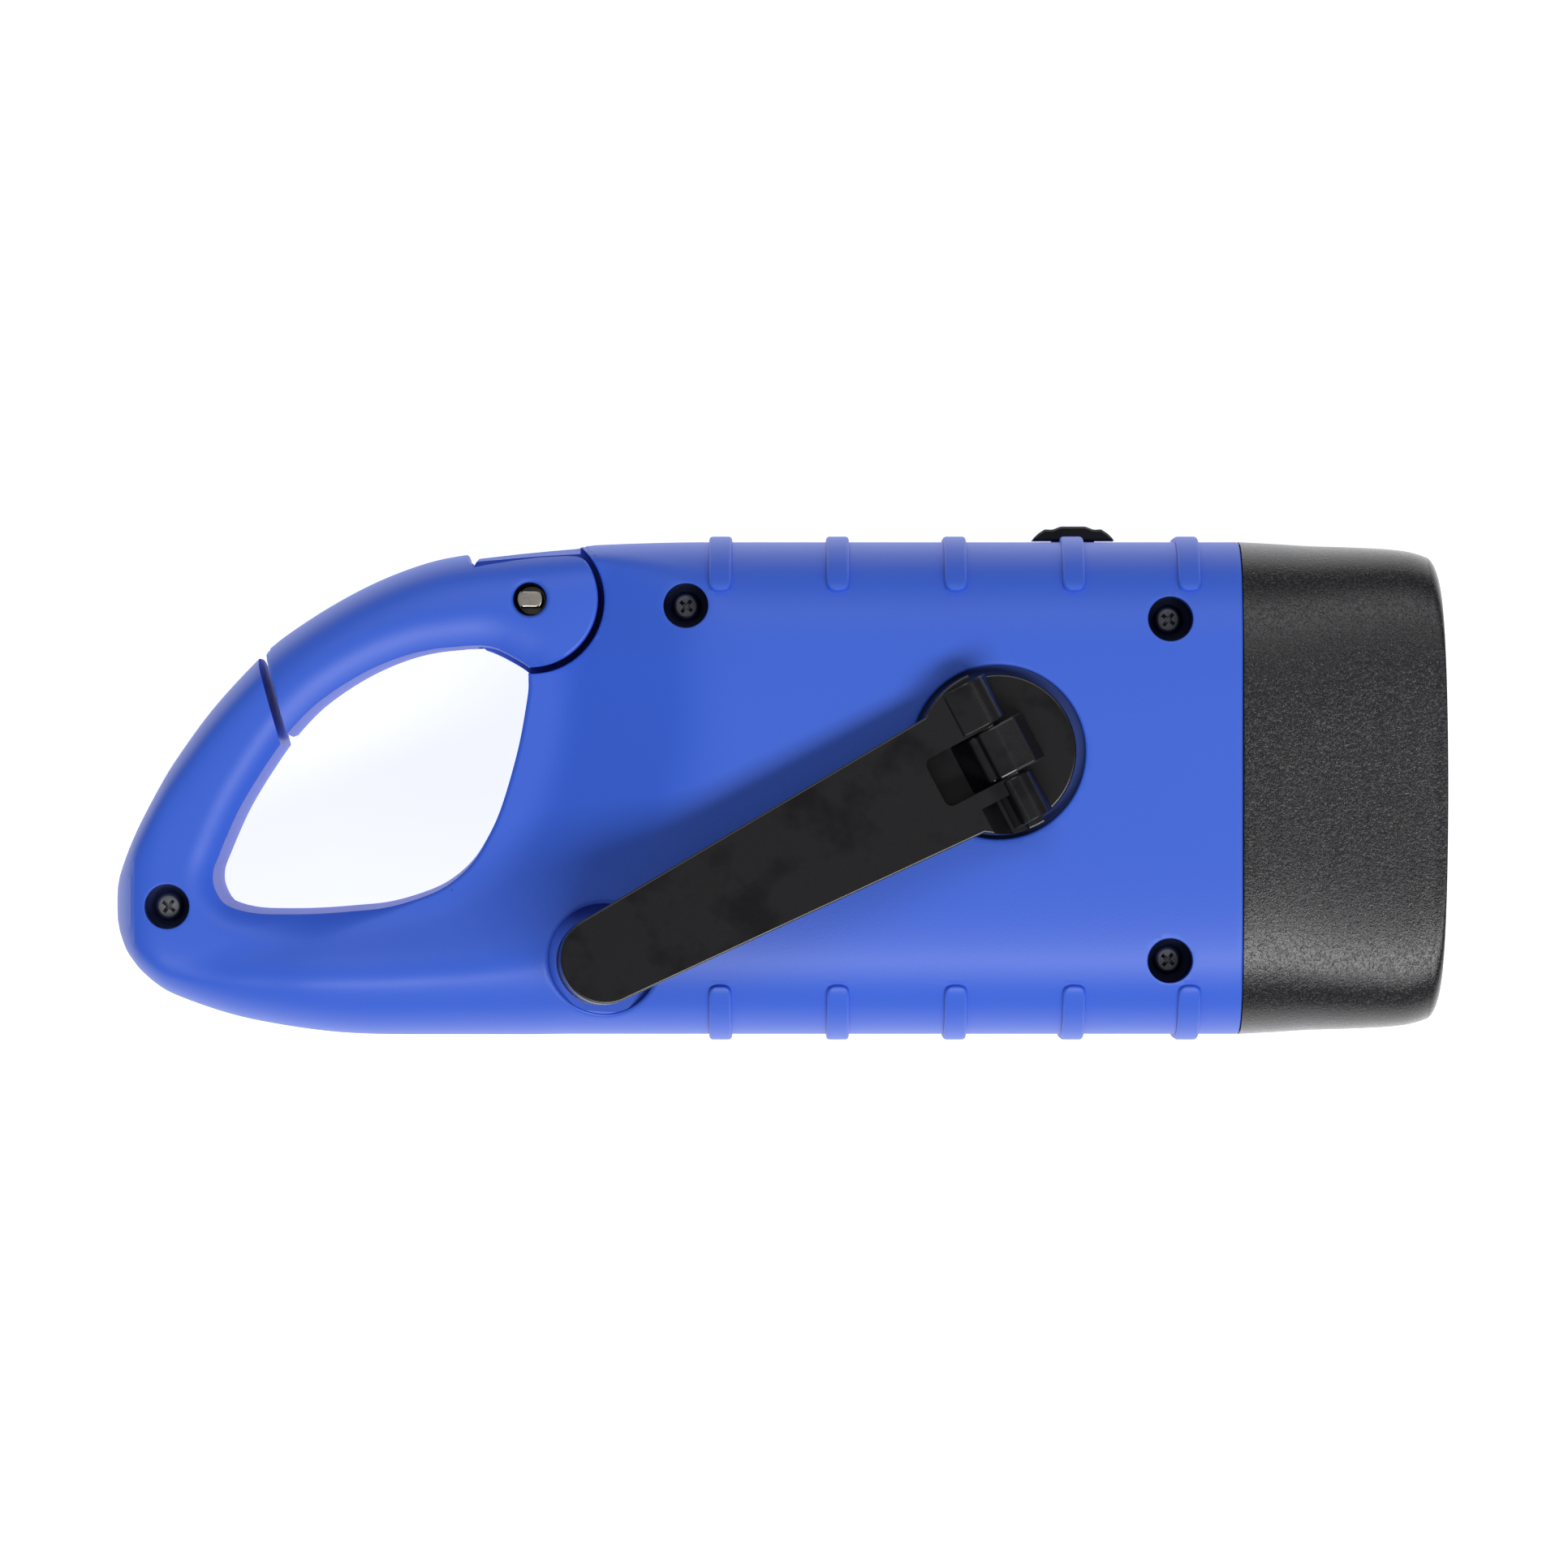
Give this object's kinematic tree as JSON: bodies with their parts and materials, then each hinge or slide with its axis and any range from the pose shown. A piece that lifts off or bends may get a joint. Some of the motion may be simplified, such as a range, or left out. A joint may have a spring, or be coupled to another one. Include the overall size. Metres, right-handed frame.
{
  "type": "hand crank flashlight",
  "caption": "Pocket torch with a carabiner handle, a sprung gate, a folding side crank that drives a generator, and a rounded lamp head.",
  "frame": {"origin": "on the flat back face that the torch lies on, under the middle of its overall length", "axes": "+X towards the lamp, +Y towards the slide switch, +Z out of the back through the crank"},
  "size_m": [0.1367, 0.0526, 0.0451],
  "materials": {
    "blue_plastic": "satin, fine grain",
    "black_plastic": "semi-gloss",
    "grained_plastic": "leather-like moulded grain",
    "steel": "nickel plated",
    "dark_steel": "black zinc",
    "nylon": "natural",
    "copper": "enamelled wire",
    "ferrite": "sintered",
    "board_green": "solder mask",
    "cell_sleeve": "shrink sleeve",
    "reflector": "vacuum metallised",
    "lens_clear": "polished acrylic",
    "led_clear": "clear epoxy",
    "bronze": "sintered bush"
  },
  "bodies": {
    "root": {"front_shell": "blue_plastic", "back_shell": "blue_plastic", "gate_pin": "steel", "gate_spring": "steel", "bezel": "grained_plastic", "lens": "lens_clear", "reflector": "reflector", "led_board": "board_green", "led_1": "led_clear", "led_2": "led_clear", "led_3": "led_clear", "shell_screw_1": "dark_steel", "shell_screw_2": "dark_steel", "shell_screw_3": "dark_steel", "tail_screw": "dark_steel", "circuit_board": "board_green", "switch_body": "black_plastic", "battery_pack": "cell_sleeve", "battery_holder": "nylon", "gearbox_plate": "nylon", "gearbox_screw_1": "dark_steel", "gearbox_screw_2": "dark_steel", "step_axle_1": "steel", "step_axle_2": "steel", "stator_coil": "copper", "generator_can": "steel", "crank_bush": "bronze"},
    "crank": {"crank_hub": "black_plastic", "drive_gear": "nylon", "gear_clip": "steel", "hinge_pin": "steel"},
    "arm": {"crank_arm": "black_plastic", "knob_pin": "steel"},
    "knob": {"crank_knob": "black_plastic"},
    "step_one": {"step_gear_1": "nylon"},
    "step_two": {"step_gear_2": "nylon"},
    "rotor": {"rotor_pinion": "steel", "rotor_magnet": "ferrite"},
    "gate": {"gate": "blue_plastic"},
    "switch": {"switch_slider": "black_plastic"}
  },
  "joints": [
    {"name": "crank_spin", "type": "hinge", "parent": "root", "child": "crank", "pos_m": [0.02164, 0.00366, 0.035], "axis": [0, 0, 1], "continuous": true},
    {"name": "crank_fold", "type": "hinge", "parent": "crank", "child": "arm", "pos_m": [0.02164, 0.00366, 0.0383], "axis": [-0.4648, 0.8854, 0], "range_deg": [-6, 174]},
    {"name": "knob_spin", "type": "hinge", "parent": "arm", "child": "knob", "pos_m": [-0.01798, -0.01715, 0.043], "axis": [0.0925, 0.0486, 0.9945], "continuous": true},
    {"name": "step_one_spin", "type": "hinge", "parent": "root", "child": "step_one", "pos_m": [0.00441, 0.00062, 0.027], "axis": [0, 0, 1], "continuous": true},
    {"name": "step_two_spin", "type": "hinge", "parent": "root", "child": "step_two", "pos_m": [-0.00638, -0.00464, 0.024], "axis": [0, 0, 1], "continuous": true},
    {"name": "rotor_spin", "type": "hinge", "parent": "root", "child": "rotor", "pos_m": [0.00561, -0.00506, 0.015], "axis": [0, 0, 1], "continuous": true},
    {"name": "gate_swing", "type": "hinge", "parent": "root", "child": "gate", "pos_m": [-0.02577, 0.01916, 0.018], "axis": [0, 0, 1], "range_deg": [0, 28], "stiffness_Nm_per_rad": 0.02, "springref_deg": -22.92},
    {"name": "switch_slide", "type": "slide", "parent": "root", "child": "switch", "axis": [1, 0, 0], "range_m": [-0.0015, 0.0015]}
  ],
  "couplings": [
    {"joint": "step_one_spin", "follows": "crank_spin", "ratio": -4},
    {"joint": "step_two_spin", "follows": "crank_spin", "ratio": 12},
    {"joint": "rotor_spin", "follows": "crank_spin", "ratio": -36}
  ]
}
